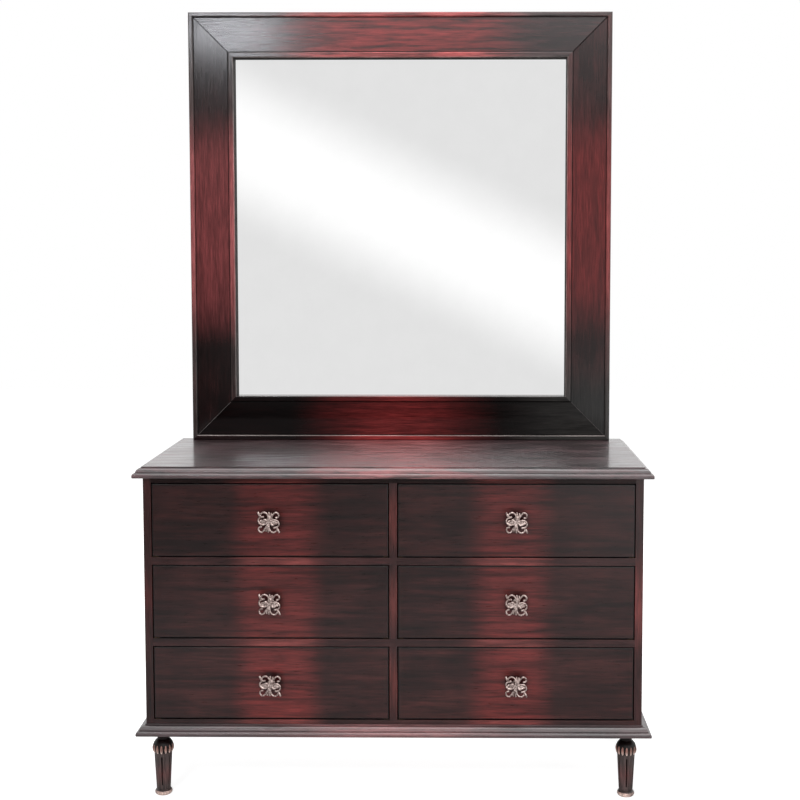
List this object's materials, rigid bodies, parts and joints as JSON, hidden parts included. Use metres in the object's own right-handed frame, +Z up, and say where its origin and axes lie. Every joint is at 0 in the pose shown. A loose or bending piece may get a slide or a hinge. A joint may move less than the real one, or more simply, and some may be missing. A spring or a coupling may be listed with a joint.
{
  "type": "dresser with mirror",
  "caption": "Low wooden dresser with inset drawers, openwork scroll pulls and short turned legs, with a large framed mirror standing at the back of its moulded top.",
  "frame": {"origin": "on the floor, under the middle of the object's box", "axes": "+Z up, +X to the right of someone facing the drawers, -Y out of the drawer fronts"},
  "size_m": [1.2, 0.493, 1.9],
  "materials": {
    "lacquered_wood": "satin gloss lacquer",
    "carcass_wood": "planed, unfinished",
    "drawer_wood": "planed, thin clear coat",
    "back_board": "smooth hardboard",
    "pewter": "antique pewter casting",
    "steel": "zinc plated",
    "mirror_glass": "silvered glass"
  },
  "bodies": {
    "dresser": {"base_board": "lacquered_wood", "top_panel": "lacquered_wood", "leg_front_left": "lacquered_wood", "leg_front_right": "lacquered_wood", "leg_back_left": "lacquered_wood", "leg_back_right": "lacquered_wood", "leg_bolts": "steel", "left_side_panel": "lacquered_wood", "right_side_panel": "lacquered_wood", "lower_rail": "lacquered_wood", "upper_rail": "lacquered_wood", "bottom_rail": "lacquered_wood", "top_rail": "lacquered_wood", "back_rail": "carcass_wood", "centre_partition": "lacquered_wood", "back_panel": "back_board", "drawer_runners": "carcass_wood", "drawer_kickers": "carcass_wood", "drawer_stops": "carcass_wood", "carcass_screws": "steel", "mirror_frame_top": "lacquered_wood", "mirror_frame_bottom": "lacquered_wood", "mirror_frame_left": "lacquered_wood", "mirror_frame_right": "lacquered_wood", "mirror_glass": "mirror_glass", "mirror_backing_board": "back_board", "mirror_clips": "steel", "mirror_battens": "carcass_wood", "batten_screws": "steel"},
    "bottom_left_drawer": {"bottom_left_drawer_front": "lacquered_wood", "bottom_left_drawer_sides": "drawer_wood", "bottom_left_drawer_back": "drawer_wood", "bottom_left_drawer_bottom": "drawer_wood", "bottom_left_drawer_pull": "pewter"},
    "bottom_right_drawer": {"bottom_right_drawer_front": "lacquered_wood", "bottom_right_drawer_sides": "drawer_wood", "bottom_right_drawer_back": "drawer_wood", "bottom_right_drawer_bottom": "drawer_wood", "bottom_right_drawer_pull": "pewter"},
    "middle_left_drawer": {"middle_left_drawer_front": "lacquered_wood", "middle_left_drawer_sides": "drawer_wood", "middle_left_drawer_back": "drawer_wood", "middle_left_drawer_bottom": "drawer_wood", "middle_left_drawer_pull": "pewter"},
    "middle_right_drawer": {"middle_right_drawer_front": "lacquered_wood", "middle_right_drawer_sides": "drawer_wood", "middle_right_drawer_back": "drawer_wood", "middle_right_drawer_bottom": "drawer_wood", "middle_right_drawer_pull": "pewter"},
    "top_left_drawer": {"top_left_drawer_front": "lacquered_wood", "top_left_drawer_sides": "drawer_wood", "top_left_drawer_back": "drawer_wood", "top_left_drawer_bottom": "drawer_wood", "top_left_drawer_pull": "pewter"},
    "top_right_drawer": {"top_right_drawer_front": "lacquered_wood", "top_right_drawer_sides": "drawer_wood", "top_right_drawer_back": "drawer_wood", "top_right_drawer_bottom": "drawer_wood", "top_right_drawer_pull": "pewter"}
  },
  "joints": [
    {"name": "bottom_left_drawer_slide", "type": "slide", "parent": "dresser", "child": "bottom_left_drawer", "axis": [0, -1, 0], "range_m": [0, 0.3]},
    {"name": "bottom_right_drawer_slide", "type": "slide", "parent": "dresser", "child": "bottom_right_drawer", "axis": [0, -1, 0], "range_m": [0, 0.3]},
    {"name": "middle_left_drawer_slide", "type": "slide", "parent": "dresser", "child": "middle_left_drawer", "axis": [0, -1, 0], "range_m": [0, 0.3]},
    {"name": "middle_right_drawer_slide", "type": "slide", "parent": "dresser", "child": "middle_right_drawer", "axis": [0, -1, 0], "range_m": [0, 0.3]},
    {"name": "top_left_drawer_slide", "type": "slide", "parent": "dresser", "child": "top_left_drawer", "axis": [0, -1, 0], "range_m": [0, 0.3]},
    {"name": "top_right_drawer_slide", "type": "slide", "parent": "dresser", "child": "top_right_drawer", "axis": [0, -1, 0], "range_m": [0, 0.3]}
  ]
}
